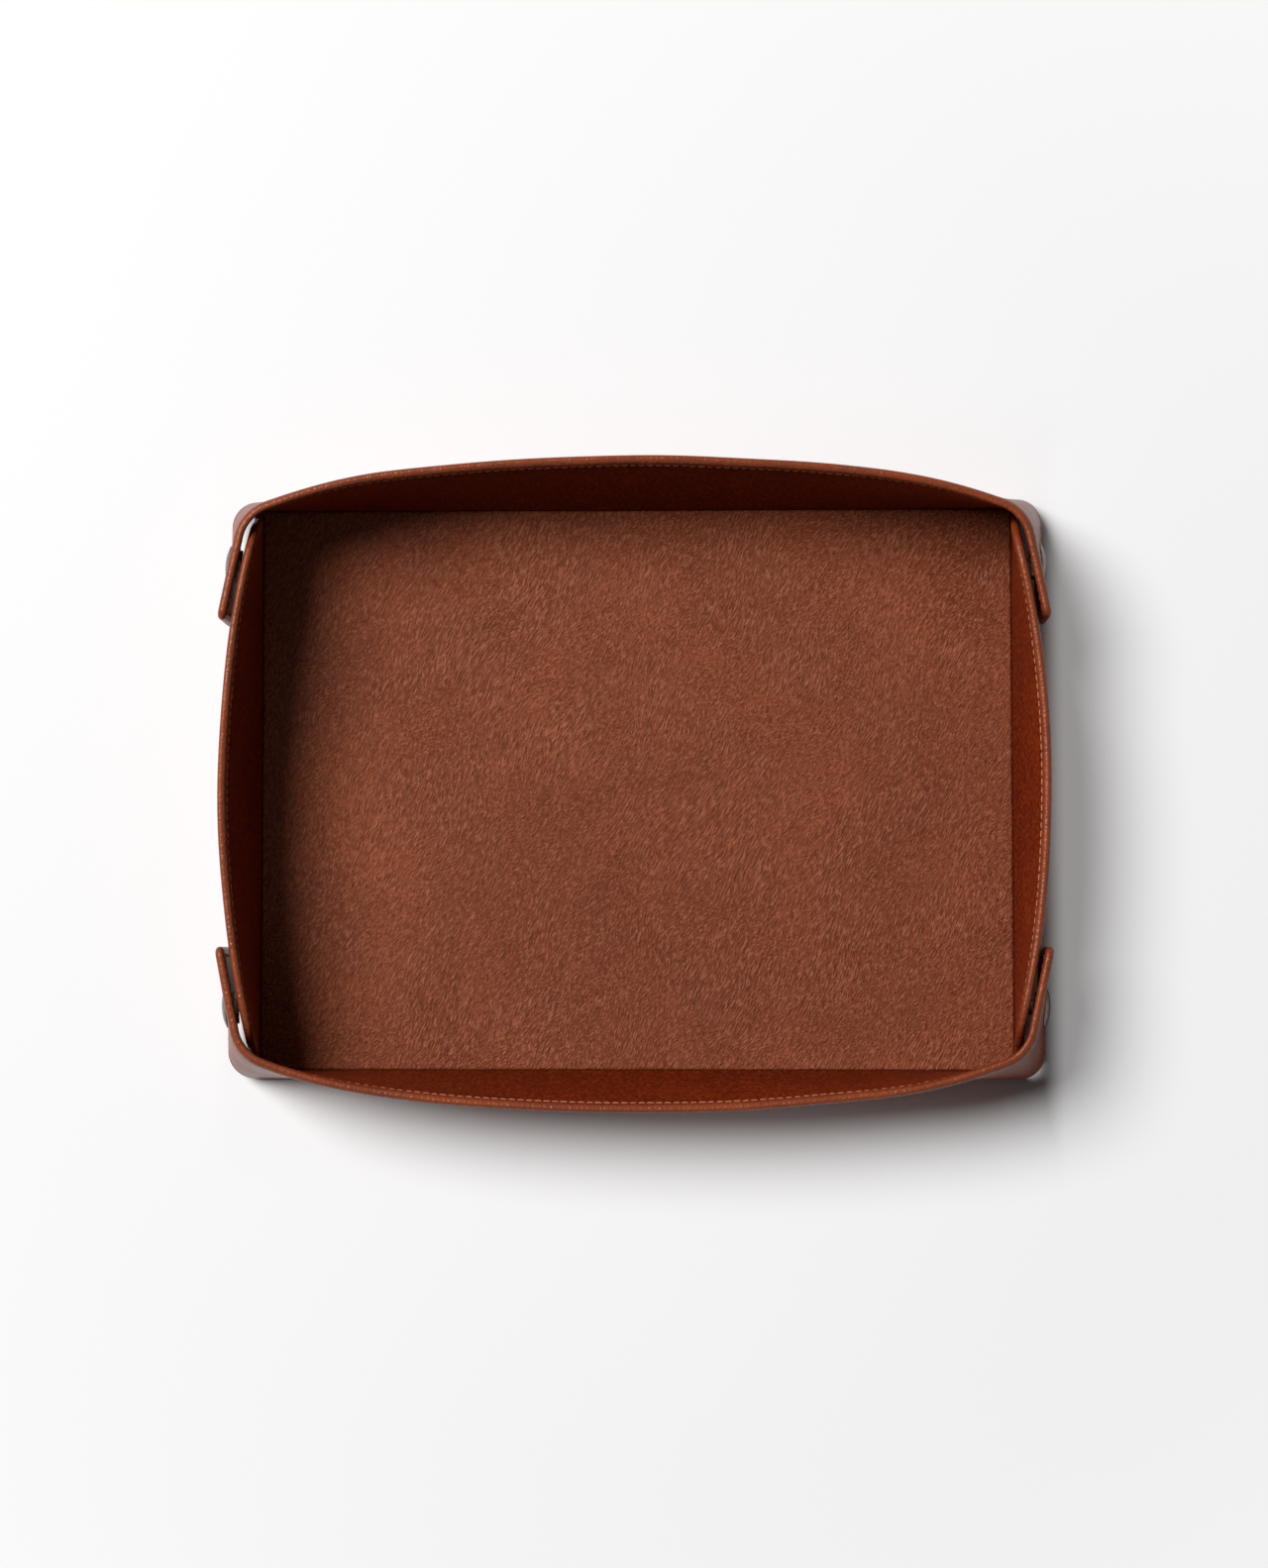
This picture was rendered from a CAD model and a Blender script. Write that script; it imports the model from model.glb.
# %% [markdown]
# # A leather valet tray
# The real tray is one cross of leather, stiffened with board. Its four arms stand up as walls,
# and the ends of the long walls go round the corners as tabs that snap onto the side walls.
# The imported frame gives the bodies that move. This file gives them their skin: soft rounded
# rims, a sewn seam, grained leather and dark metal snaps.
# Everything is worked out in millimetres and turned into metres when a mesh is made.

# %% Load the frame
import math

import bmesh
import bpy
import numpy as np
from mathutils import Matrix, Vector


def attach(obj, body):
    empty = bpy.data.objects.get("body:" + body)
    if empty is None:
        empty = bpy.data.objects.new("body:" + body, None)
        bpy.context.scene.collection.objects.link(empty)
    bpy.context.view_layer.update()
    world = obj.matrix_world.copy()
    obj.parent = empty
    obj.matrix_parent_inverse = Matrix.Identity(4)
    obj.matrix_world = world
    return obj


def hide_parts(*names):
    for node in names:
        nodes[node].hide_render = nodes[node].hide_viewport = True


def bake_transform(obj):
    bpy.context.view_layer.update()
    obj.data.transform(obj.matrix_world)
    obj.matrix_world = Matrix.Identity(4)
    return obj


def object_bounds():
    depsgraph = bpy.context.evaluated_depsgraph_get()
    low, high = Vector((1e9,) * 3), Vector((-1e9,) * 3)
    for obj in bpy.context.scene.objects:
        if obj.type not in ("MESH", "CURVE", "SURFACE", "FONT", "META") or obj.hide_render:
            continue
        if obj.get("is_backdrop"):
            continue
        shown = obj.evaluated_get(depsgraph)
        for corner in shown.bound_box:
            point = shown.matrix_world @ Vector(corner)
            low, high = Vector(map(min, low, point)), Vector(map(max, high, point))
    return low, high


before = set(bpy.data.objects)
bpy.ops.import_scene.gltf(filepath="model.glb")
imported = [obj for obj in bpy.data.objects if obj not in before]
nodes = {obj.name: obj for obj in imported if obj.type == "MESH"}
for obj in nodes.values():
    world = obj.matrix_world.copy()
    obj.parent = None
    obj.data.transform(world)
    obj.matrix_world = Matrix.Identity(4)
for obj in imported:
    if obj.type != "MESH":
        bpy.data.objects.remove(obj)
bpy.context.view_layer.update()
mm = 0.001

# %% Sizes of the tray, in millimetres
floor_length = 245.0
floor_depth = 183.0
rim_height = 42.0
leather, board, lining = 0.9, 1.0, 0.7
sheet = leather + board + lining
fold_radius = 1.5
hinge_gap = 0.3
long_bow, long_pinch = 8.9, 5.7
middle_share, middle_sag_share = 0.65, 0.31
corner_setback = 6.5
foot_bend_radius, rim_bend_radius = 8.0, 15.0
tab_flare = 12.0
tab_reach = 42.5
tab_top_round, tab_foot_round, tab_foot_rise = 3.0, 14.0, 1.5
side_bow, side_pinch = 5.3, 4.8
side_foot_gap, side_rim_inset, side_top_round = 2.6, 10.5, 15.0
snap_gap = 4.6
past_end = sheet

foot_z = sheet + fold_radius + hinge_gap
wall_rise = rim_height - foot_z
half_floor_x = floor_length / 2 - fold_radius
half_floor_y = floor_depth / 2 - fold_radius
long_foot_y = floor_depth / 2 + sheet
side_foot_x = floor_length / 2 + sheet
tab_foot_x = side_foot_x + snap_gap + sheet
tab_end_y = long_foot_y - tab_reach
foot_corner_x = tab_foot_x - foot_bend_radius

# %% [markdown]
# ## The outline of the walls
# Seen from above, each wall stands on a straight fold, and its rim bows outwards in the middle.
# The long walls lean in at the corners. So a wall is a ruled surface: straight lines from a
# point on the foot to a point on the rim. A "station" below is one such line, with the
# direction into the tray at both ends. The long rim is a flat middle arc, a tighter arc on each
# side and then the corner bend, each tangent to the next. Where a panel ends freely, its
# surface is worked out a little past the end, so that the end can be cut round.


# %% Arcs of the rim
def around(centre, radius, turn):
    """The point at a radius from a centre, turned clockwise from +Y by degrees."""
    angle = math.radians(turn)
    return np.array(centre) + radius * np.array([math.sin(angle), math.cos(angle)])


rim_corner_x = floor_length / 2 - corner_setback
rim_corner_y = long_foot_y - long_pinch
rim_middle_y = long_foot_y + long_bow
rim_sag = rim_middle_y - rim_corner_y
middle_half = middle_share * rim_corner_x
middle_sag = middle_sag_share * rim_sag
middle_radius = (middle_half**2 + middle_sag**2) / (2 * middle_sag)
middle_turn = math.degrees(math.asin(middle_half / middle_radius))
end_run = rim_corner_x - middle_half
end_drop = rim_sag - middle_sag
end_turn = 2 * (math.degrees(math.atan2(end_drop, end_run)) - middle_turn)
end_radius = math.hypot(end_run, end_drop) / (2 * math.sin(math.radians(end_turn / 2)))
corner_turn = middle_turn + end_turn
tab_turn = 90 - tab_flare

middle_centre = np.array([0, rim_middle_y - middle_radius])
end_centre = around(middle_centre, middle_radius - end_radius, middle_turn)
bend_centre = around(end_centre, end_radius - rim_bend_radius, corner_turn)
foot_bend_centre = np.array([foot_corner_x, long_foot_y - foot_bend_radius])
print("long rim turns", round(middle_turn, 2), round(corner_turn, 2), round(tab_turn, 2))


# %% Stations of the long wall and of the corner bend
middle_stations, shoulder_stations, corner_stations = 19, 15, 17
straight_in = np.array([0, -1.0])


def mix(a, b, share):
    return a + (b - a) * share


def flipped(station, flip):
    return tuple(np.array(flip) * part for part in station)


def into_tray(turn):
    """The direction into the tray where the outline has turned by some degrees."""
    return around((0, 0), -1, turn)


def long_stations():
    """Stations of the back wall from its left bend to its right bend."""
    foot_middle = middle_share * foot_corner_x
    half = []
    for share in np.linspace(0, 1, middle_stations):
        turn = middle_turn * share
        foot = np.array([foot_middle * share, long_foot_y])
        rim = around(middle_centre, middle_radius, turn)
        half.append((foot, rim, straight_in, into_tray(turn)))
    for share in np.linspace(0, 1, shoulder_stations)[1:]:
        turn = mix(middle_turn, corner_turn, share)
        foot = np.array([mix(foot_middle, foot_corner_x, share), long_foot_y])
        rim = around(end_centre, end_radius, turn)
        half.append((foot, rim, straight_in, into_tray(turn)))
    return [flipped(station, (-1, 1)) for station in half[:0:-1]] + half


def bend_stations():
    """Stations of the back right bend, from the wall to the tab."""
    stations = []
    for share in np.linspace(0, 1, corner_stations):
        foot_turn, rim_turn = 90 * share, mix(corner_turn, tab_turn, share)
        foot = around(foot_bend_centre, foot_bend_radius, foot_turn)
        rim = around(bend_centre, rim_bend_radius, rim_turn)
        stations.append((foot, rim, into_tray(foot_turn), into_tray(rim_turn)))
    return stations


# %% [markdown]
# Real leather walls are never quite even. A small slow wave, nothing at the foot and up to
# a quarter of a millimetre at the rim, keeps the highlights along the rims alive. It depends
# only on the place in the tray, so pieces that meet still meet.


# %% A slow wave, and a point of the sheet
wave_height, wave_growth = 0.22, 1.5


def wave(x, y):
    """Two waves about 100 mm long, multiplied, and a weaker one of about 40 mm."""
    slow = math.sin(0.047 * x + 0.031 * y + 0.6) * math.cos(0.039 * x - 0.052 * y)
    return wave_height * (0.7 * slow + 0.3 * math.sin(0.13 * x - 0.11 * y + 1.9))


def on_station(station, height, depth):
    """The point of the sheet at a height and a depth in from its outer face."""
    foot, rim, foot_in, rim_in = station
    share = (height - foot_z) / wall_rise
    inward = mix(foot_in, rim_in, share)
    place = mix(foot + foot_in * depth, rim + rim_in * depth, share)
    place = place + inward * wave(*place) * max(share, 0) ** wave_growth
    return np.array([place[0], place[1], height])


# %% [markdown]
# ## The section of the sheet
# The outer leather is turned over the rim and sewn down. Three things show it: the edge is
# round, the seam pulls both faces in along a shallow groove, and the strip between seam and
# edge swells a little.

# %% Depth of the two faces
edge_round = 1.3
seam_inset = 2.9
seam_depth, seam_half_width = 0.34, 0.55
swell, swell_place, swell_width = 0.14, 1.75, 0.7


def face_depth(inset):
    """How far a face lies in from the plain sheet, at a distance from the free edge."""
    inset = max(inset, 0)
    lack = max(edge_round - inset, 0)
    rounded = edge_round - math.sqrt(max(edge_round**2 - lack**2, 0))
    seam = seam_depth * math.exp(-(((inset - seam_inset) / seam_half_width) ** 2))
    puff = swell * math.exp(-(((inset - swell_place) / swell_width) ** 2))
    return rounded + seam - (puff if inset > edge_round / 2 else puff * inset / edge_round * 2)


def smooth(share):
    share = min(max(share, 0), 1)
    return share * share * (3 - 2 * share)


# Where the grids have their rows near an edge: close together in the round and at the seam.
edge_steps = [0, 0.06, 0.22, 0.48, 0.85, 1.3, 1.75, 2.15, 2.45, 2.7, 2.9, 3.1, 3.35, 3.7, 4.3]
foot_steps = [0, 0.4, 0.8, 1.2, 1.7, 2.6, 4.5]
middle_rows = 8
far_inset = 99  # stored where every free edge is far away
print("inner face at the seam", round(sheet - face_depth(seam_inset), 3))

# %% [markdown]
# ## Finishes
# Five finishes make the whole tray, and have to exist before the pieces that wear them. All of
# them read Object coordinates. Every piece lies at the origin in the tray's own frame, so a
# pattern runs on from one piece to the next. Each panel also stores how far every point is from
# its free edge, in millimetres. By that "inset" the leather is paler where hands rub the rim,
# and the wall lining is darker towards the foot. The wax in the leather tints its highlights,
# so two of the finishes have a warm specular tint.

# %% Helpers for finishes
materials = {}


def linear(red, green, blue):
    """A colour written as 0 to 255 on screen, as the light values that a shader wants."""
    parts = [value / 255 for value in (red, green, blue)]
    return [v / 12.92 if v <= 0.04045 else ((v + 0.055) / 1.055) ** 2.4 for v in parts] + [1.0]


def put(tree, socket, entry):
    """Link an entry that is a socket itself, and set any other entry as the value."""
    if isinstance(entry, bpy.types.NodeSocket):
        tree.links.new(entry, socket)
    else:
        socket.default_value = entry


def fill(tree, made, *entries):
    """Put entries into the first inputs of a node, in their order."""
    for socket, entry in zip(made.inputs, entries):
        put(tree, socket, entry)
    return made.outputs[0]


def maths(tree, operation, *entries):
    """A Math node and its result."""
    made = tree.nodes.new("ShaderNodeMath")
    made.operation = operation
    return fill(tree, made, *entries)


wax_tint = linear(255, 215, 192)


class Finish:
    """A new material with its Principled shader, and short calls for the nodes used here."""

    def __init__(self, name):
        self.material = bpy.data.materials.new(name)
        self.material.use_nodes = True
        self.tree = self.material.node_tree
        self.shader = self.tree.nodes["Principled BSDF"]
        self.place = self.node("ShaderNodeTexCoord").outputs["Object"]
        materials[name] = self.material

    def node(self, kind, **settings):
        made = self.tree.nodes.new(kind)
        for key, value in settings.items():
            setattr(made, key, value)
        return made

    def feed(self, made, **values):
        """Set or link the inputs of a node. An underscore stands for a space."""
        for key, value in values.items():
            put(self.tree, made.inputs[key.replace("_", " ")], value)

    def surface(self, **values):
        self.feed(self.shader, **values)

    def maths(self, operation, *entries):
        return maths(self.tree, operation, *entries)

    def stretched(self, turn, lengths, place=None):
        """Coordinates in which a pattern is drawn out along X, Y and Z, turned about Z."""
        moved = self.node("ShaderNodeMapping", vector_type="TEXTURE")
        self.feed(moved, Vector=place or self.place, Scale=lengths)
        self.feed(moved, Rotation=(0, 0, math.radians(turn)))
        return moved.outputs["Vector"]

    def warped(self, scale, amount, place=None):
        """Coordinates pushed about by a slow noise, by an amount in millimetres."""
        push = self.node("ShaderNodeTexNoise")
        self.feed(push, Vector=self.place, Scale=scale, Detail=1.0)
        moved = self.node("ShaderNodeVectorMath", operation="MULTIPLY_ADD")
        reach = [2 * amount * mm] * 3
        return fill(self.tree, moved, push.outputs["Color"], reach, place or self.place)

    def noise(self, scale, detail=3.0, roughness=0.5, place=None):
        made = self.node("ShaderNodeTexNoise")
        self.feed(made, Vector=place or self.place, Scale=scale)
        self.feed(made, Detail=detail, Roughness=roughness)
        return made.outputs["Fac"]

    def cells(self, scale):
        """A field of small rounded cells, as leather has them."""
        made = self.node("ShaderNodeTexVoronoi", feature="SMOOTH_F1")
        self.feed(made, Vector=self.place, Scale=scale)
        return made.outputs["Distance"]

    def step(self, value, low, high, out_low=0.0, out_high=1.0):
        """Map a value from one range to another, smoothly and within the range."""
        made = self.node("ShaderNodeMapRange", interpolation_type="SMOOTHSTEP")
        return fill(self.tree, made, value, low, high, out_low, out_high)

    def between(self, share, first, second):
        """A number between two. A Mix node has its numbers on the inputs 2 and 3."""
        made = self.node("ShaderNodeMix", data_type="FLOAT")
        for place, entry in ((0, share), (2, first), (3, second)):
            put(self.tree, made.inputs[place], entry)
        return made.outputs[0]

    def blend(self, share, first, second):
        """A colour between two. A Mix node has its colours on the inputs 6 and 7."""
        made = self.node("ShaderNodeMix", data_type="RGBA")
        for place, entry in ((0, share), (6, first), (7, second)):
            put(self.tree, made.inputs[place], entry)
        return made.outputs[2]

    def bump(self, height, distance, strength=1.0, normal=None):
        made = self.node("ShaderNodeBump")
        self.feed(made, Height=height, Distance=distance * mm, Strength=strength)
        if normal:
            self.feed(made, Normal=normal)
        return made.outputs["Normal"]

    def inset(self):
        """The stored distance to the free edge, in millimetres."""
        return self.node("ShaderNodeAttribute", attribute_name="inset").outputs["Fac"]


# %% [markdown]
# The outer leather is full-grain leather with a dull polish. Its grain is a field of small soft
# cells with fine dark specks, over a slow change of tone. Under that a wider bump stands for
# the hand of the hide. The rim is rubbed a little paler.

# %% Outer leather
finish = Finish("leather")
tone = finish.noise(55, detail=5, roughness=0.6)
speck = finish.noise(900, detail=3)
rubbed = finish.step(finish.inset(), 0.3, 2.4, 1.0, 0.0)
body = finish.blend(finish.step(tone, 0.3, 0.7), linear(104, 37, 13), linear(126, 50, 20))
body = finish.blend(finish.step(speck, 0.35, 0.75, 0.0, 0.6), body, linear(74, 24, 10))
colour = finish.blend(finish.maths("MULTIPLY", rubbed, 0.16), body, linear(164, 84, 46))
grain = finish.cells(1150)
normal = finish.bump(finish.noise(120, detail=4), 0.5, 0.35)
normal = finish.bump(grain, 0.22, 0.8, normal)
finish.surface(Base_Color=colour, Normal=normal)
finish.surface(Roughness=finish.step(tone, 0.25, 0.75, 0.3, 0.42))
finish.surface(Specular_IOR_Level=0.4, Specular_Tint=wax_tint)
print("leather", len(finish.tree.nodes), "nodes")

# %% [markdown]
# The walls are lined with a smoother and darker leather. It is glued down tight, so it shows
# only fine grain and long shallow ripples. The dye is deeper towards the foot, and darkest in
# the crease at the floor, where dust and wax gather.

# %% Wall lining
finish = Finish("wall lining")
tone = finish.noise(40, detail=4, roughness=0.55)
speck = finish.noise(800, detail=3)
soil = finish.step(finish.inset(), 100.0, 185.0)
low = finish.step(finish.inset(), 8.0, 34.0)
body = finish.blend(finish.step(tone, 0.3, 0.7), linear(104, 30, 6), linear(120, 40, 10))
body = finish.blend(finish.maths("MULTIPLY", low, 0.7), body, linear(84, 18, 2))
body = finish.blend(finish.step(speck, 0.45, 0.6, 0.0, 0.6), body, linear(70, 17, 4))
body = finish.blend(finish.step(speck, 0.5, 0.38, 0.0, 0.4), body, linear(146, 62, 26))
colour = finish.blend(finish.maths("MULTIPLY", soil, 0.55), body, linear(40, 12, 7))
grain = finish.cells(1050)
ripple = finish.noise(60, detail=3, place=finish.stretched(0, (1, 1, 2)))
normal = finish.bump(ripple, 0.4, 0.4)
normal = finish.bump(grain, 0.09, 0.6, normal)
finish.surface(Base_Color=colour, Normal=normal, Specular_IOR_Level=0.06)
finish.surface(Roughness=finish.step(tone, 0.25, 0.75, 0.38, 0.48))
print("wall lining", len(finish.tree.nodes), "nodes")

# %% [markdown]
# The floor is lined with softer leather, drawn up into fine wrinkles as the hide grew. They are
# under a millimetre wide and a few long, and run steeply from the lower left to the upper
# right. Two noises stretched along different slopes make them, a third says which of the two is
# stronger in a place, and two more push the coordinates about, so that no two patches run quite
# alike. The wrinkles are bump, with some colour in their tops and bottoms. More colour would
# look like fur.

# %% Floor lining
finish = Finish("floor lining")
slow = finish.warped(13, 9.0)
quick = finish.warped(150, 0.6, slow)
lines = finish.noise(2000, 2.0, 0.6, place=finish.stretched(66, (5, 1, 1), quick))
crossing = finish.noise(2300, 2.0, 0.6, place=finish.stretched(38, (3, 1, 1), quick))
drawn = finish.step(finish.noise(40, detail=1), 0.4, 0.6, 0.35, 0.7)
height = finish.between(drawn, crossing, lines)
tone = finish.noise(26, detail=2)
patch = finish.noise(9, detail=2)
body = finish.blend(finish.step(tone, 0.3, 0.7), linear(119, 56, 31), linear(134, 67, 40))
body = finish.blend(finish.step(patch, 0.35, 0.65, 0.0, 0.45), body, linear(106, 46, 25))
body = finish.blend(finish.step(height, 0.5, 0.62, 0.0, 0.5), body, linear(178, 112, 86))
colour = finish.blend(finish.step(height, 0.5, 0.38, 0.0, 0.65), body, linear(72, 26, 14))
normal = finish.bump(finish.noise(110, detail=3, place=slow), 0.6, 0.4)
normal = finish.bump(height, 0.75, 1.0, normal)
finish.surface(Base_Color=colour, Normal=normal)
finish.surface(Specular_IOR_Level=0.18, Specular_Tint=wax_tint)
finish.surface(Roughness=finish.step(tone, 0.25, 0.75, 0.34, 0.44))
print("floor lining", len(finish.tree.nodes), "nodes")

# %% [markdown]
# The thread is waxed linen, paler than the leather, with the twist of its strands as a fine
# slanting wave. The snaps are blackened brass: dark metal, a little uneven, with fine scratches.

# %% Thread and snap metal
finish = Finish("thread")
twist = finish.node("ShaderNodeTexWave", bands_direction="DIAGONAL")
finish.feed(twist, Vector=finish.place, Scale=1500.0, Distortion=1.5)
fibre = finish.noise(2600, detail=2)
colour = finish.blend(finish.step(fibre, 0.3, 0.7), linear(170, 100, 72), linear(198, 130, 100))
finish.surface(Base_Color=colour, Roughness=0.6)
finish.surface(Normal=finish.bump(twist.outputs["Fac"], 0.06, 0.6))

finish = Finish("snap metal")
stain = finish.noise(260, detail=4, roughness=0.65)
scratch = finish.noise(1500, detail=3, place=finish.stretched(24, (1, 12, 1)))
colour = finish.blend(finish.step(stain, 0.35, 0.7), linear(74, 60, 53), linear(118, 98, 88))
finish.surface(Base_Color=colour, Metallic=1.0)
finish.surface(Roughness=finish.step(scratch, 0.3, 0.75, 0.2, 0.38))
finish.surface(Normal=finish.bump(scratch, 0.02, 0.35))
print(len(materials), "finishes")

# %% [markdown]
# ## A panel as a grid
# One small builder makes all the leather panels. A panel is a grid of columns and rows. Each
# grid point has a place on the outer face, a place on the inner face and its distance to the
# nearest free edge. Where that distance is nought the two faces meet, and everywhere else on
# the border a strip closes the sheet.

# %% Mesh helpers
OUTSIDE, INSIDE, ON_FLOOR = 0, 1, 2
same_place, no_length, sharp_edge = 0.003 * mm, 0.002 * mm, math.radians(55)


def add_object(name, data):
    made = bpy.data.objects.new(name, data)
    bpy.context.scene.collection.objects.link(made)
    return made


def make_object(name, points, faces, marks, insets, finishes):
    """A mesh object in metres, with a material slot for each finish and its insets stored."""
    mesh = bpy.data.meshes.new(name)
    mesh.from_pydata([[float(v) * mm for v in point] for point in points], [], faces)
    for finish_name in finishes:
        mesh.materials.append(materials[finish_name])
    mesh.polygons.foreach_set("material_index", marks)
    mesh.attributes.new("inset", "FLOAT", "POINT").data.foreach_set("value", insets)
    return add_object(name, mesh)


def close_up(piece):
    """Merge doubles, turn the faces outwards and shade smooth, except over sharp edges."""
    shape = bmesh.new()
    shape.from_mesh(piece.data)
    bmesh.ops.remove_doubles(shape, verts=shape.verts, dist=same_place)
    bmesh.ops.dissolve_degenerate(shape, edges=shape.edges, dist=no_length)
    bmesh.ops.recalc_face_normals(shape, faces=shape.faces)
    open_edges = sum(1 for edge in shape.edges if not edge.is_manifold)
    volume = shape.calc_volume(signed=True) / mm**3
    shape.to_mesh(piece.data)
    shape.free()
    piece.data.shade_smooth()
    piece.data.set_sharp_from_angle(angle=sharp_edge)
    count = len(piece.data.polygons)
    print(f"{piece.name}: {count} faces, {open_edges} open edges, {volume / 1000:.2f} cm3")
    return piece


def panel(name, grid, lined="wall lining"):
    """A closed sheet from a grid of (outer point, inner point, inset)."""
    wide, high = len(grid), len(grid[0])
    outer = [entry[0] for column in grid for entry in column]
    inner = [entry[1] for column in grid for entry in column]
    insets = [float(entry[2]) for column in grid for entry in column]
    faces, marks = [], []
    for side in (OUTSIDE, INSIDE):
        for i in range(wide - 1):
            for j in range(high - 1):
                ring = [i * high + j, (i + 1) * high + j, (i + 1) * high + j + 1, i * high + j + 1]
                beyond_seam = sum(insets[k] for k in ring) / 4 > seam_inset
                faces.append([k + side * wide * high for k in ring])
                marks.append(INSIDE if side and beyond_seam else OUTSIDE)
    border = [i * high for i in range(wide)] + [(wide - 1) * high + j for j in range(1, high)]
    border += [i * high + high - 1 for i in range(wide - 2, -1, -1)]
    border += list(range(high - 2, 0, -1))
    for a, b in zip(border, border[1:] + border[:1]):
        faces.append([a, b, b + wide * high, a + wide * high])
        marks.append(OUTSIDE)
    finishes = ("leather", lined)
    return close_up(make_object(name, outer + inner, faces, marks, insets * 2, finishes))


def spread(low, high, low_steps, high_steps, between=middle_rows):
    """Places from low to high: close steps near the two ends, even ones between.

    The close steps shrink together where they would take up more than four fifths of the way.
    """
    scale = min(1, (high - low) / (1.25 * (low_steps[-1] + high_steps[-1])))
    first = [low + step * scale for step in low_steps]
    last = [high - step * scale for step in reversed(high_steps)]
    middle = [mix(first[-1], last[0], i / (between + 1)) for i in range(1, between + 1)]
    return first + middle + last


def sheet_at(station, z, rim_inset, foot_inset, foot_free):
    """The grid entry at a height. foot_free is 0 where the foot is a fold and 1 where it's cut."""
    cut_depth = face_depth(min(rim_inset, foot_inset))
    depth = mix(face_depth(rim_inset), cut_depth, foot_free)
    inset = mix(rim_inset, min(rim_inset, foot_inset), foot_free)
    return on_station(station, z, depth), on_station(station, z, sheet - depth), inset


# %% Long wall and bend
def long_wall(name, flip):
    grid = []
    for station in long_stations():
        rows = spread(foot_z, rim_height, edge_steps, edge_steps)
        entry = flipped(station, flip)
        grid.append([sheet_at(entry, z, rim_height - z, far_inset, 0) for z in rows])
    return panel(name, grid)


def bend(name, flip):
    """The corner bend. Its foot lifts off the fold and becomes the free foot of the tab."""
    grid = []
    stations = bend_stations()
    for i, station in enumerate(stations):
        free = smooth(i / (len(stations) - 1))
        low = foot_z + tab_foot_rise * free
        rows = spread(low, rim_height, edge_steps, edge_steps)
        entry = flipped(station, flip)
        grid.append([sheet_at(entry, z, rim_height - z, z - low, free) for z in rows])
    return panel(name, grid)


# %% [markdown]
# ## Panels with free ends
# A tab and a side wall also end freely, with rounded corners. Their columns run along the end,
# and the distance to the free edge is worked out in the side view, round corners and all. So
# the round edge, the swell and the seam run on round the corners.


# %% Distance to a free outline
halvings, newton_steps = 40, 6


def corner_distance(y, z, centre, radius, along_end, along_top):
    """Distance to a rounded corner, or None where the point isn't in the corner's sector."""
    out = np.array([y, z]) - centre
    if out @ along_end > 0 and out @ along_top > 0:
        return radius - math.hypot(*out)
    return None


def last_inside(inset, start, end):
    """The last place from start towards end where an inset is still positive, by halving."""
    if inset(end) >= 0:
        return end
    for _ in range(halvings):
        middle = (start + end) / 2
        start, end = (middle, end) if inset(middle) >= 0 else (start, middle)
    return start


# %% The tab
tab_bottom = foot_z + tab_foot_rise
rim_start = around(bend_centre, rim_bend_radius, tab_turn)
tab_along = around((0, 0), 1, tab_turn + 90)
tab_in = into_tray(tab_turn)
tab_rim_run = (rim_start[1] - tab_end_y + past_end) / abs(tab_along[1])
near_end = [14.0, 11.5, 9.0, 7.0, 5.4] + edge_steps[::-1]
tab_columns, side_columns = 8, 14
just_inside = 1e-6


def tab_start(z):
    """Where the tab begins, at the bend, in the side view."""
    return mix(foot_bend_centre[1], rim_start[1], (z - foot_z) / wall_rise)


def tab_station(y, z):
    """The station of the back right tab through a place in its side view."""
    run = (tab_start(z) - y) / (tab_start(z) - tab_end_y + past_end)
    foot = np.array([tab_foot_x, mix(foot_bend_centre[1], tab_end_y - past_end, run)])
    return foot, rim_start + tab_along * tab_rim_run * run, np.array([-1.0, 0]), tab_in


def tab_inset(y, z):
    corners = (
        ((tab_end_y + tab_foot_round, tab_bottom + tab_foot_round), tab_foot_round, -1),
        ((tab_end_y + tab_top_round, rim_height - tab_top_round), tab_top_round, 1),
    )
    for centre, radius, up in corners:
        found = corner_distance(y, z, centre, radius, np.array([0, up]), np.array([-1, 0]))
        if found is not None:
            return found
    return min(y - tab_end_y, z - tab_bottom, rim_height - z)


def tab(name, flip):
    """Columns slant with the bend at first, and stand upright near the free end."""
    columns = [(i / tab_columns, None) for i in range(tab_columns)]
    columns += [(1, offset) for offset in near_end]
    grid = []
    for share, offset in columns:

        def y_at(z):
            end = tab_end_y + near_end[0]
            return mix(tab_start(z), end, share) if offset is None else tab_end_y + offset

        def inside(z):
            return tab_inset(y_at(z) + just_inside, z)

        top = last_inside(inside, rim_height - (tab_top_round + 1), rim_height)
        bottom = last_inside(inside, tab_bottom + (tab_foot_round + 1), tab_bottom)
        entries = []
        for z in spread(bottom, top, edge_steps, edge_steps):
            station = flipped(tab_station(y_at(z), z), flip)
            inset = tab_inset(y_at(z), z)
            entries.append(sheet_at(station, z, inset, inset, 1))
        grid.append(entries)
    return panel(name, grid)


# %% The side wall
side_middle_x = side_foot_x + side_bow
side_end_y = floor_depth / 2 - side_rim_inset
side_sag = side_bow + side_pinch
side_radius = (side_end_y**2 + side_sag**2) / (2 * side_sag)
side_turn = math.asin(side_end_y / side_radius)
side_foot_end_y = floor_depth / 2 - side_foot_gap
side_centre = np.array([side_middle_x - side_radius, 0])
end_line = np.array([side_end_y - side_foot_end_y, wall_rise])
end_line = end_line / math.hypot(*end_line)
end_out = np.array([end_line[1], -end_line[0]])


def side_edge(z):
    """Half length of the side wall at a height, before its corners are rounded."""
    return mix(side_foot_end_y, side_end_y, (z - foot_z) / wall_rise)


side_corner_z = rim_height - side_top_round
side_corner_y = side_edge(side_corner_z) - side_top_round / end_out[0]
side_corner = np.array([side_corner_y, side_corner_z])


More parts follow.
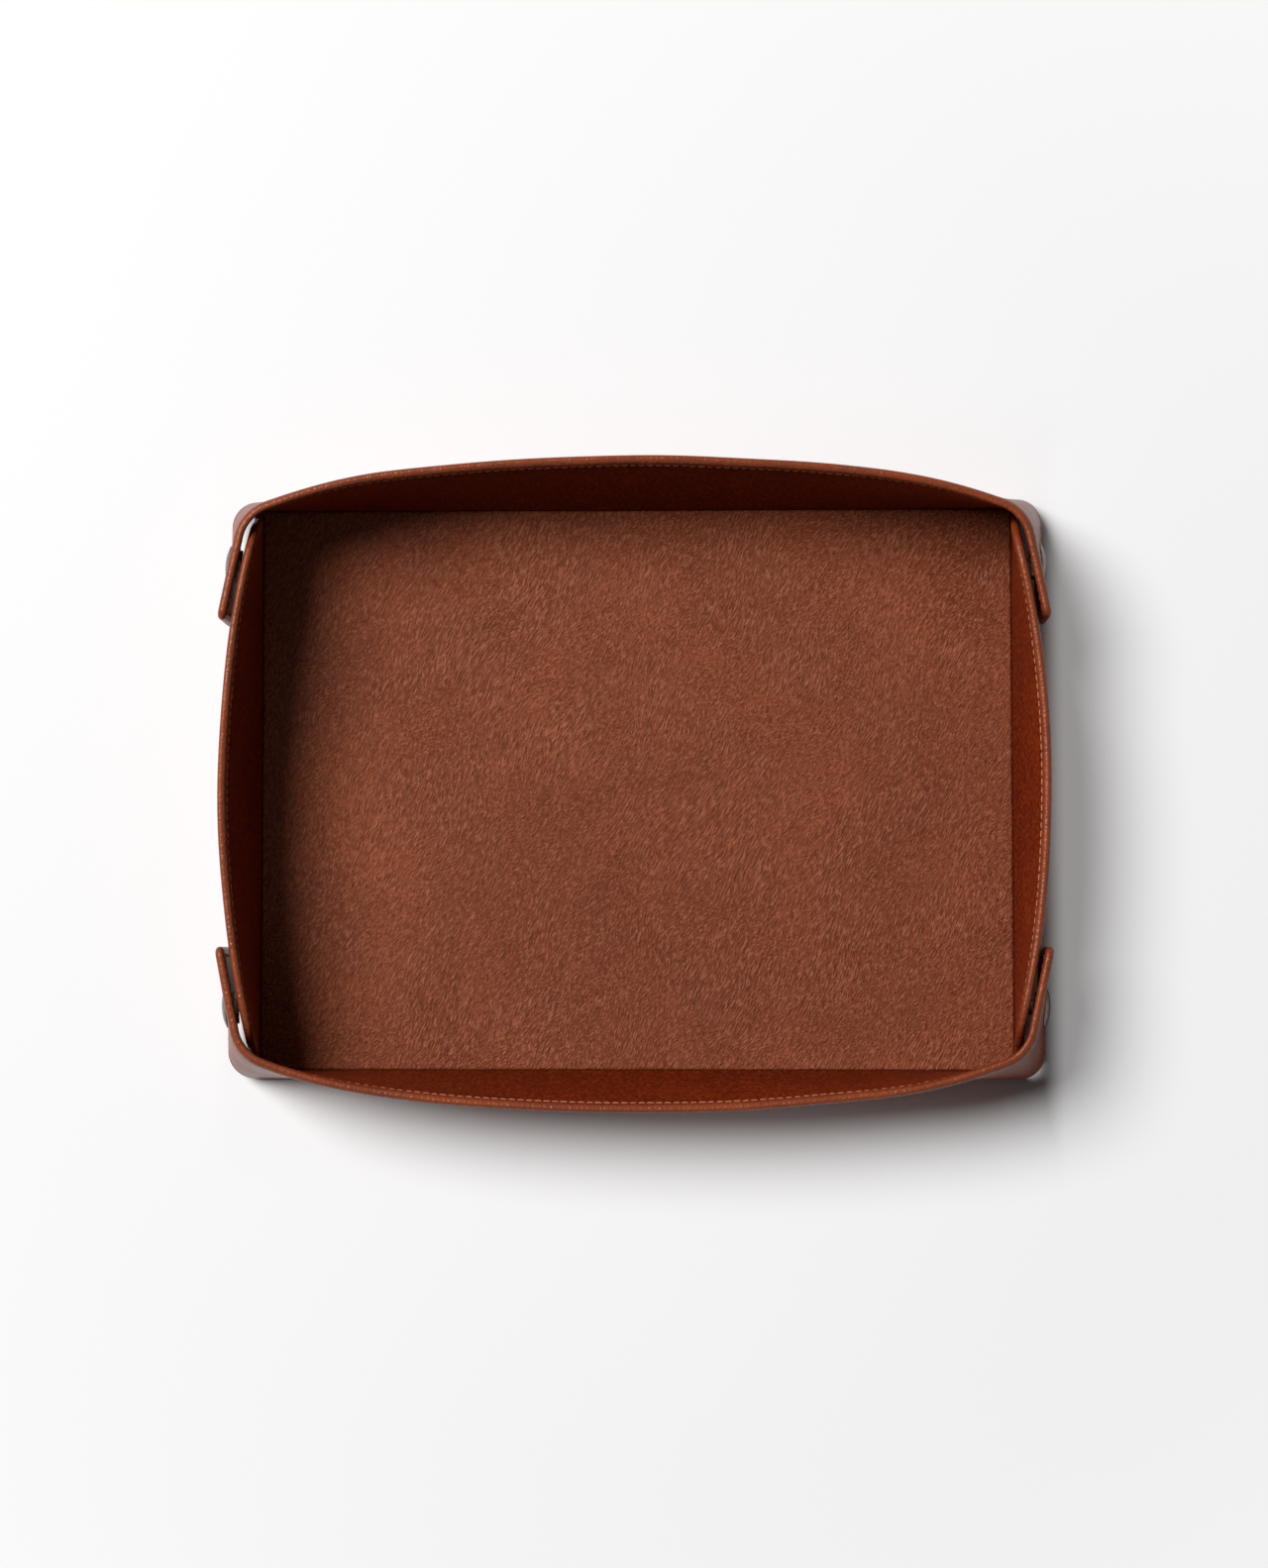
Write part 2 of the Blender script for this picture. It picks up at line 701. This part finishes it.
def side_station(y, z):
    """The station of the right wall through a place in its side view, found by Newton steps."""
    share = (z - foot_z) / wall_rise
    long_half = side_foot_end_y + past_end
    reach = side_turn + past_end / side_radius
    at = y / long_half
    for _ in range(newton_steps):
        place = mix(at * long_half, side_radius * math.sin(at * reach), share)
        slope = mix(long_half, side_radius * reach * math.cos(at * reach), share)
        at += (y - place) / slope
    outward = np.array([math.cos(at * reach), math.sin(at * reach)])
    foot = np.array([side_foot_x, at * long_half])
    return foot, side_centre + side_radius * outward, np.array([-1.0, 0]), -outward


def side_inset(y, z):
    """Distance to the nearest free edge of the side wall. Its foot is a fold, so not free."""
    y = abs(y)
    found = corner_distance(y, z, side_corner, side_top_round, end_line, np.array([1, 0]))
    to_end = (np.array([side_foot_end_y - y, foot_z - z])) @ end_out
    return min(to_end, rim_height - z) if found is None else found


def side_wall(name, flip):
    """Columns are spaced evenly in the middle and follow the slanting ends near them."""
    columns = [(-1, offset) for offset in reversed(near_end)]
    columns += [(i / side_columns - 1, None) for i in range(1, 2 * side_columns)]
    columns += [(1, offset) for offset in near_end]
    grid = []
    for share, offset in columns:

        def y_at(z):
            span = side_edge(z) - (near_end[0] if offset is None else offset)
            return share * span

        def inside(z):
            return side_inset(abs(y_at(z)) - just_inside, z)

        top = last_inside(inside, rim_height - (side_top_round + 1), rim_height)
        entries = []
        for z in spread(foot_z, top, foot_steps, edge_steps):
            station = flipped(side_station(y_at(z), z), flip)
            entries.append(sheet_at(station, z, side_inset(y_at(z), z), far_inset, 0))
        grid.append(entries)
    return panel(name, grid)


# %% [markdown]
# ## The floor and the folds
# The floor is a flat, slightly uneven pad. Each fold is a strip of leather and lining, bent
# through a quarter turn outside, with a dark crease inside, where the lining turns up into the
# wall. It hangs on two bodies, so it is blended between them: when a wall folds out, the strip
# straightens and the crease opens. The blend starts at the top edge of the floor and ends at
# the foot of the wall, so both its borders stay closed at every pose. The long folds run on to
# where the corner bends begin, and so close the corners of the floor.


# %% Floor pad
pad_columns, pad_rows = 60, 46
pad_unevenness, pad_calm_border = 0.08, 12


def floor_pad(name):
    steps = foot_steps[:-1]
    xs = spread(-half_floor_x, half_floor_x, steps, steps, pad_columns)
    ys = spread(-half_floor_y, half_floor_y, steps, steps, pad_rows)
    grid = []
    for x in xs:
        column = []
        for y in ys:
            edge = min(half_floor_x - abs(x), half_floor_y - abs(y))
            slow = math.sin(0.11 * x + 0.4) * math.sin(0.13 * y + 1.1)
            top = sheet + pad_unevenness * slow * smooth(edge / pad_calm_border)
            column.append(((x, y, 0), (x, y, top), far_inset))
        grid.append(column)
    return panel(name, grid, "floor lining")


# %% Fold strip
# Across and up, from the floor to the wall. The last number is the stored inset, which is 200
# in the bottom of the crease, where the finish is darkest.
crease_section = [
    (0.0, sheet, far_inset),
    (0.45, sheet, far_inset),
    (0.8, sheet - 0.02, far_inset),
    (1.05, sheet - 0.1, 110),
    (1.22, sheet - 0.24, 150),
    (1.33, sheet - 0.42, 200),
    (1.40, sheet - 0.44, 200),
    (1.47, sheet - 0.22, 190),
    (1.51, sheet + 0.15, 150),
    (1.53, sheet + 0.6, 115),
    (1.52, sheet + 1.1, far_inset),
    (fold_radius, foot_z, far_inset),
]
crease_across = 1.3
fold_columns = 61


def fold_strip(name, edge, half_length, flip, along_x):
    """The fold along the back of the floor, or along its right side."""
    outer = fold_radius + sheet
    turns = np.linspace(0, math.pi / 2, len(crease_section) - 1)
    outside = [(outer * math.sin(t), outer - outer * math.cos(t)) for t in turns]
    outside.append((outer, foot_z))
    grid = []
    for place in np.linspace(-half_length, half_length, fold_columns):
        column = []
        for outer_place, (inner_x, inner_z, inset) in zip(outside, crease_section):
            points = []
            for across, z in (outer_place, (inner_x, inner_z)):
                at = (place, edge + across) if along_x else (edge + across, place)
                points.append((at[0] * flip[0], at[1] * flip[1], z))
            column.append((*points, inset))
        grid.append(column)
    strip = panel(name, grid)
    strip.data.materials.append(materials["floor lining"])
    for face in strip.data.polygons:
        across = abs(face.center[1 if along_x else 0]) / mm - edge
        if face.material_index == INSIDE and across < crease_across:
            face.material_index = ON_FLOOR
    return strip


# %% [markdown]
# ## Putting the leather on the frame
# The tray is the same in its four quarters, so each piece is made once for the back right and
# flipped into place. Only the slow wave differs. Every piece rides on the body it belongs to,
# and stands for the CAD nodes that it covers.

# %% Floor, walls and tabs
layer_names = ("leather", "board", "lining")
ends = (("back", 1), ("front", -1))
sides = (("right", 1), ("left", -1))


def dress(piece, body, *covered):
    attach(piece, body)
    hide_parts(*covered)


dress(floor_pad("floor_skin"), "floor", *(f"floor_{layer}" for layer in layer_names))
for end, flip_y in ends:
    wall = f"{end}_wall"
    dress(long_wall(f"{wall}_skin", (1, flip_y)), wall, *(f"{wall}_{n}" for n in layer_names))
    for side, flip_x in sides:
        tab_name = f"{end}_{side}_tab"
        covered = [f"{tab_name}_{layer}" for layer in layer_names]
        dress(tab(f"{tab_name}_skin", (flip_x, flip_y)), tab_name, *covered)
for side, flip_x in sides:
    wall = f"{side}_wall"
    dress(side_wall(f"{wall}_skin", (flip_x, 1)), wall, *(f"{wall}_{n}" for n in layer_names))


# %% Folds and bends, blended over their joints
def bent_between(piece, body_a, body_b, start, end, *covered):
    [v * mm for v in start]
    [v * mm for v in end]
    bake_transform(piece)
    if covered:
        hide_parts(*covered)


# At half height, the line across the back right corner along which its bend turns.
bend_from, bend_to = (122.0, 89.2, 23.0), (127.4, 83.8, 23.0)
for end, flip_y in ends:
    strip = fold_strip(f"{end}_fold_skin", half_floor_y, foot_corner_x, (1, flip_y), True)
    start = (0, flip_y * half_floor_y, sheet)
    stop = (0, flip_y * (half_floor_y + fold_radius), foot_z)
    bent_between(strip, "floor", f"{end}_wall", start, stop, f"{end}_fold")
    for side, flip_x in sides:
        name = f"{end}_{side}"
        piece = bend(f"{name}_bend_skin", (flip_x, flip_y))
        start, stop = ([x * flip_x, y * flip_y, z] for x, y, z in (bend_from, bend_to))
        bent_between(piece, f"{end}_wall", f"{name}_tab", start, stop, f"{name}_bend")
for side, flip_x in sides:
    strip = fold_strip(f"{side}_fold_skin", half_floor_x, half_floor_y, (flip_x, 1), False)
    start = (flip_x * half_floor_x, 0, sheet)
    stop = (flip_x * (half_floor_x + fold_radius), 0, foot_z)
    bent_between(strip, "floor", f"{side}_wall", start, stop, f"{side}_fold")

# %% [markdown]
# ## Stitches
# The turned edges are sewn with a running seam that shows on both faces. Stitches repeat along
# a path, which is what Geometry Nodes are good at. The tree takes the seam as a row of mesh
# edges with an "outward" direction on each point. It spaces the stitches evenly, with half a
# gap at both ends, so that the seam of one piece runs on in the next. Each stitch is a short
# arched thread, a little slanted.

# %% The stitch tree
stitch_pitch, stitch_length, thread_radius = 2.7, 1.95, 0.3
stitch_arch, stitch_slant, stitch_seed = 0.16, 7, 7
stitch_points, thread_sides = 6, 7
thin_end = 0.55
smallest_stitch, largest_stitch = 0.93, 1.06


def stitch_tree():
    tree = bpy.data.node_groups.new("saddle stitches", "GeometryNodeTree")
    tree.interface.new_socket("Seam", in_out="INPUT", socket_type="NodeSocketGeometry")
    for name in ("Pitch", "Stitch length", "Thread radius", "Arch", "Slant"):
        tree.interface.new_socket(name, in_out="INPUT", socket_type="NodeSocketFloat")
    tree.interface.new_socket("Seed", in_out="INPUT", socket_type="NodeSocketInt")
    tree.interface.new_socket("Thread", in_out="INPUT", socket_type="NodeSocketMaterial")
    tree.interface.new_socket("Stitches", in_out="OUTPUT", socket_type="NodeSocketGeometry")

    def add(kind, entries=None, **settings):
        """A node with its settings and its inputs, by name or number. Gives its outputs."""
        node = tree.nodes.new(kind)
        for key, value in settings.items():
            setattr(node, key, value)
        for key, entry in (entries or {}).items():
            put(tree, node.inputs[key], entry)
        return node.outputs

    def reckon(operation, *entries):
        return maths(tree, operation, *entries)

    given = add("NodeGroupInput")

    # Where the stitches go
    path = add("GeometryNodeMeshToCurve", {"Mesh": given["Seam"]})
    length = add("GeometryNodeSplineLength")["Length"]
    gaps = reckon("ROUND", reckon("DIVIDE", length, given["Pitch"]))
    half_gap = reckon("DIVIDE", 0.5, gaps)
    whole = {"Curve": path[0], 2: half_gap, 3: reckon("SUBTRACT", 1.0, half_gap)}
    trimmed = {"Curve": add("GeometryNodeTrimCurve", whole, mode="FACTOR")[0]}
    trimmed["Count"] = reckon("ADD", gaps, 1.0)
    evenly = add("GeometryNodeResampleCurve", trimmed, mode="COUNT")

    # One stitch: a short arched thread that thins out where it goes into the leather
    half = reckon("MULTIPLY", given["Stitch length"], 0.5)
    start = add("ShaderNodeCombineXYZ", {"X": reckon("MULTIPLY", half, -1.0)})
    end = add("ShaderNodeCombineXYZ", {"X": half})
    line = add("GeometryNodeCurvePrimitiveLine", {"Start": start[0], "End": end[0]})
    coarse = {"Curve": line[0], "Count": stitch_points}
    finer = add("GeometryNodeResampleCurve", coarse, mode="COUNT")
    along = add("GeometryNodeSplineParameter")["Factor"]
    off_middle = reckon("SUBTRACT", reckon("MULTIPLY", along, 2.0), 1.0)
    fullness = reckon("SUBTRACT", 1.0, reckon("POWER", reckon("ABSOLUTE", off_middle), 2.0))
    lift = add("ShaderNodeCombineXYZ", {"Z": reckon("MULTIPLY", fullness, given["Arch"])})
    arched = add("GeometryNodeSetPosition", {"Geometry": finer[0], "Offset": lift[0]})
    width = reckon("ADD", thin_end, reckon("MULTIPLY", fullness, 1 - thin_end))
    tapered = add("GeometryNodeSetCurveRadius", {"Curve": arched[0], "Radius": width})
    circle = {"Resolution": thread_sides, "Radius": given["Thread radius"]}
    ring = add("GeometryNodeCurvePrimitiveCircle", circle)
    swept = {"Curve": tapered[0], "Profile Curve": ring[0], "Fill Caps": True}
    thread = add("GeometryNodeCurveToMesh", swept)
    slant = add("ShaderNodeCombineXYZ", {"Z": given["Slant"]})
    slanted = add("GeometryNodeTransform", {"Geometry": thread[0], "Rotation": slant[0]})

    # Stand a stitch on each point, its arch outwards, and make the result real
    outward = add("GeometryNodeInputNamedAttribute", {"Name": "outward"}, data_type="FLOAT_VECTOR")
    tangent = add("GeometryNodeInputTangent")
    axes = {"Primary Axis": outward[0], "Secondary Axis": tangent[0]}
    aim = add("FunctionNodeAxesToRotation", axes, primary_axis="Z", secondary_axis="X")
    limits = {2: smallest_stitch, 3: largest_stitch, "Seed": given["Seed"]}
    size = add("FunctionNodeRandomValue", limits, data_type="FLOAT")
    row = {"Points": evenly[0], "Instance": slanted[0], "Rotation": aim[0], "Scale": size[1]}
    stand = add("GeometryNodeInstanceOnPoints", row)
    real = add("GeometryNodeRealizeInstances", {0: stand[0]})
    dyed = add("GeometryNodeSetMaterial", {"Geometry": real[0], "Material": given["Thread"]})
    add("NodeGroupOutput", {0: dyed[0]})
    return tree


stitches = stitch_tree()
print("stitch tree", len(stitches.nodes), "nodes")

# %% [markdown]
# A seam is a list of places, each with a station and a height. It is laid in the bottom of the
# groove on the outer face and on the inner face. The modifier's inputs are set by the socket's
# identifier, and the result becomes a plain mesh of its own.


# %% Sewing a seam
seam_lift = 0.06


def seam_on_faces(places):
    """Points and outward directions of a seam, once for each face of the sheet."""
    sunk = face_depth(seam_inset) - seam_lift
    runs = []
    for depth, side in ((sunk, -1), (sheet - sunk, 1)):
        run = []
        for station, z in places:
            inward = mix(station[2], station[3], (z - foot_z) / wall_rise)
            run.append((on_station(station, z, depth), np.array([*(inward * side), 0.0])))
        runs.append(run)
    return runs


def sew(name, runs):
    """Turn the runs into edges, let the tree stitch them and keep the plain mesh."""
    points, edges, outward = [], [], []
    for run in runs:
        first = len(points)
        points += [tuple(place * mm) for place, _ in run]
        outward += [value for _, direction in run for value in direction]
        edges += [(first + i, first + i + 1) for i in range(len(run) - 1)]
    mesh = bpy.data.meshes.new(name)
    mesh.from_pydata(points, edges, [])
    mesh.attributes.new("outward", "FLOAT_VECTOR", "POINT").data.foreach_set("vector", outward)
    seam = add_object(name + "_path", mesh)
    modifier = seam.modifiers.new("stitches", "NODES")
    modifier.node_group = stitches
    sizes = {
        "Pitch": stitch_pitch * mm,
        "Stitch length": stitch_length * mm,
        "Thread radius": thread_radius * mm,
        "Arch": stitch_arch * mm,
        "Slant": math.radians(stitch_slant),
        "Seed": stitch_seed,
        "Thread": materials["thread"],
    }
    for item in stitches.interface.items_tree:
        if item.in_out == "INPUT" and item.name in sizes:
            modifier[item.identifier] = sizes[item.name]
    bpy.context.view_layer.update()
    seen = seam.evaluated_get(bpy.context.evaluated_depsgraph_get())
    sewn = add_object(name, bpy.data.meshes.new_from_object(seen))
    bpy.data.objects.remove(seam)
    shape = bmesh.new()
    shape.from_mesh(sewn.data)
    bmesh.ops.recalc_face_normals(shape, faces=shape.faces)
    shape.to_mesh(sewn.data)
    shape.free()
    sewn.data.shade_smooth()
    print(name, len(sewn.data.polygons), "faces")
    return sewn


# %% Seams of the long walls and the bends
seam_z = rim_height - seam_inset
for end, flip_y in ends:
    places = [(flipped(station, (1, flip_y)), seam_z) for station in long_stations()]
    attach(sew(f"{end}_wall_stitches", seam_on_faces(places)), f"{end}_wall")
    for side, flip_x in sides:
        places = [(flipped(station, (flip_x, flip_y)), seam_z) for station in bend_stations()]
        piece = sew(f"{end}_{side}_bend_stitches", seam_on_faces(places))
        start, stop = ([x * flip_x, y * flip_y, z] for x, y, z in (bend_from, bend_to))
        bent_between(piece, f"{end}_wall", f"{end}_{side}_tab", start, stop)


# %% Seams of the tabs and the side walls
seam_corner, side_seam_rise = 1.6, 1.5
tab_rim_steps, side_rim_steps, foot_seam_steps = 12, 14, 8
small_arc_points, large_arc_points = 5, 14


def shares(steps):
    """Even shares of a way, from its start to its end."""
    return [i / steps for i in range(steps + 1)]


def arc_places(centre, radius, start, end, count):
    angles = np.radians(np.linspace(start, end, count))
    return [(centre[0] + radius * math.cos(a), centre[1] + radius * math.sin(a)) for a in angles]


def tab_seam():
    """The seam of the back right tab in its side view: rim, free end, foot."""
    y, low, top = tab_end_y + seam_inset, tab_bottom + seam_inset, seam_z
    small, large = seam_corner, tab_foot_round - seam_inset
    rim, foot = shares(tab_rim_steps)[:-1], shares(foot_seam_steps)[1:]
    places = [(mix(tab_start(top), y + small, share), top) for share in rim]
    places += arc_places((y + small, top - small), small, 90, 180, small_arc_points)
    places += arc_places((y + large, low + large), large, 180, 270, large_arc_points)
    return places + [(mix(y + large, tab_start(low), share), low) for share in foot]


def side_seam():
    """The seam of the right wall in its side view, from one foot over the rim to the other."""
    tilt = math.degrees(math.atan2(end_out[1], end_out[0]))
    half = [(mix(side_corner_y, 0, share), seam_z) for share in shares(side_rim_steps)[:0:-1]]
    half += arc_places(side_corner, side_top_round - seam_inset, 90, tilt, large_arc_points)
    start_y, start_z = half[-1]
    end_z = foot_z + side_seam_rise
    end_y = side_edge(end_z) - seam_inset / end_out[0]
    for share in shares(foot_seam_steps)[1:]:
        half.append((mix(start_y, end_y, share), mix(start_z, end_z, share)))
    return [(-y, z) for y, z in half[:0:-1]] + half


for end, flip_y in ends:
    for side, flip_x in sides:
        places = [(flipped(tab_station(y, z), (flip_x, flip_y)), z) for y, z in tab_seam()]
        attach(sew(f"{end}_{side}_tab_stitches", seam_on_faces(places)), f"{end}_{side}_tab")
for side, flip_x in sides:
    places = [(flipped(side_station(y, z), (flip_x, 1)), z) for y, z in side_seam()]
    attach(sew(f"{side}_wall_stitches", seam_on_faces(places)), f"{side}_wall")

# %% [markdown]
# ## Snaps
# The CAD snaps have their true shape: cap, socket, stud and eyelet. They keep it and get the
# blackened metal.

# %% Snap metal on the CAD nodes
snaps = [name for name in nodes if "_snap_" in name]
for name in snaps:
    nodes[name].data.materials.clear()
    nodes[name].data.materials.append(materials["snap metal"])
print(len(snaps), "snap pieces")

# %% [markdown]
# ## Table, light and camera
# The tray is seen from above on a white table. One large soft lamp stands at the upper left, so
# the left and back walls shade the floor beside them and a soft shadow falls to the lower
# right. The camera is 0.9 m up, a little to the right and to the front of the tray's middle, so
# it sees more of the back and left walls. Its lens follows from the photograph, where the tray
# fills two thirds of the width.
# The table glows a little for the camera only, which makes it white without more light on the
# tray. The glow stops under the tray, where the table has to stay dark, and grows with the
# distance, so that a low view sees no grey horizon.

# %% Table
table_half = 4
table = bpy.data.meshes.new("table")
turns = ((-1, -1), (1, -1), (1, 1), (-1, 1))
corners = [(table_half * x, table_half * y, 0) for x, y in turns]
table.from_pydata(corners, [], [(0, 1, 2, 3)])
table_top = add_object("table", table)
finish = Finish("white table")
colour = finish.blend(finish.noise(3, detail=2), linear(250, 250, 250), linear(253, 253, 253))
finish.surface(Base_Color=colour, Roughness=0.9, Specular_IOR_Level=0.0)
seen = finish.node("ShaderNodeLightPath").outputs["Is Camera Ray"]
glow = finish.node("ShaderNodeEmission")
paper = finish.node("ShaderNodeMixShader")
apart = finish.node("ShaderNodeSeparateXYZ")
finish.feed(apart, Vector=finish.place)
foot_to_open = {"X": (0.131, 0.14), "Y": (0.095, 0.136)}
beside = []
for axis, reach in foot_to_open.items():
    beside.append(finish.step(finish.maths("ABSOLUTE", apart.outputs[axis]), *reach))
open_table = finish.maths("MAXIMUM", *beside)
away = finish.node("ShaderNodeVectorMath", operation="LENGTH")
finish.feed(away, Vector=finish.place)
glow_from, glow_to = 0.2, 0.5
near_glow, far_glow = 0.265, 0.9
strongest = finish.step(away.outputs["Value"], glow_from, glow_to, near_glow, far_glow)
glow_share = finish.maths("MULTIPLY", finish.maths("MULTIPLY", seen, strongest), open_table)
shown = fill(finish.tree, paper, glow_share, finish.shader.outputs[0], glow.outputs[0])
put(finish.tree, finish.tree.nodes["Material Output"].inputs["Surface"], shown)
table.materials.append(materials["white table"])
table_top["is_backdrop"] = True

# %% Light
world = bpy.data.worlds.new("studio")
bpy.context.scene.world = world
world.use_nodes = True
tree = world.node_tree
background = tree.nodes["Background"]
background.inputs["Color"].default_value = (1, 1, 1, 1)
rays = tree.nodes.new("ShaderNodeLightPath").outputs
seen = maths(tree, "MAXIMUM", rays["Is Camera Ray"], rays["Is Glossy Ray"])
seen = maths(tree, "MAXIMUM", seen, rays["Is Transmission Ray"])
fill_light, white = 0.028, 1.0
strength = fill(tree, tree.nodes.new("ShaderNodeMapRange"), seen, 0.0, 1.0, fill_light, white)
put(tree, background.inputs["Strength"], strength)

window_size, window_watts, window_place = 2.2, 184.0, (-2.05, 1.25, 3.05)
lamp = bpy.data.lights.new("window", "AREA")
lamp.shape, lamp.size, lamp.energy = "DISK", window_size, window_watts
window = add_object("window", lamp)
window.location = window_place
window.rotation_euler = (-Vector(window.location)).to_track_quat("-Z", "Y").to_euler()
print("window", round(Vector(window.location).length, 2), "m away")

# %% Camera
camera_place, aim = Vector((0.022, -0.048, 0.9)), Vector((-0.0007, 0.0016, 0))
focal_pixels, image_height = 2784, 1583
camera = bpy.data.cameras.new("camera")
camera.sensor_width = 36
camera.lens = camera.sensor_width * focal_pixels / image_height
view = add_object("camera", camera)
ahead = (aim - camera_place).normalized()
to_right = ahead.cross(Vector((0, 1, 0))).normalized()
view.location = camera_place
view.rotation_euler = Matrix((to_right, to_right.cross(ahead), -ahead)).transposed().to_euler()
bpy.context.scene.camera = view
bpy.context.scene.view_settings.view_transform = "Standard"
print("lens", round(camera.lens, 2), "mm")

# %% Sizes and finish
low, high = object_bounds()
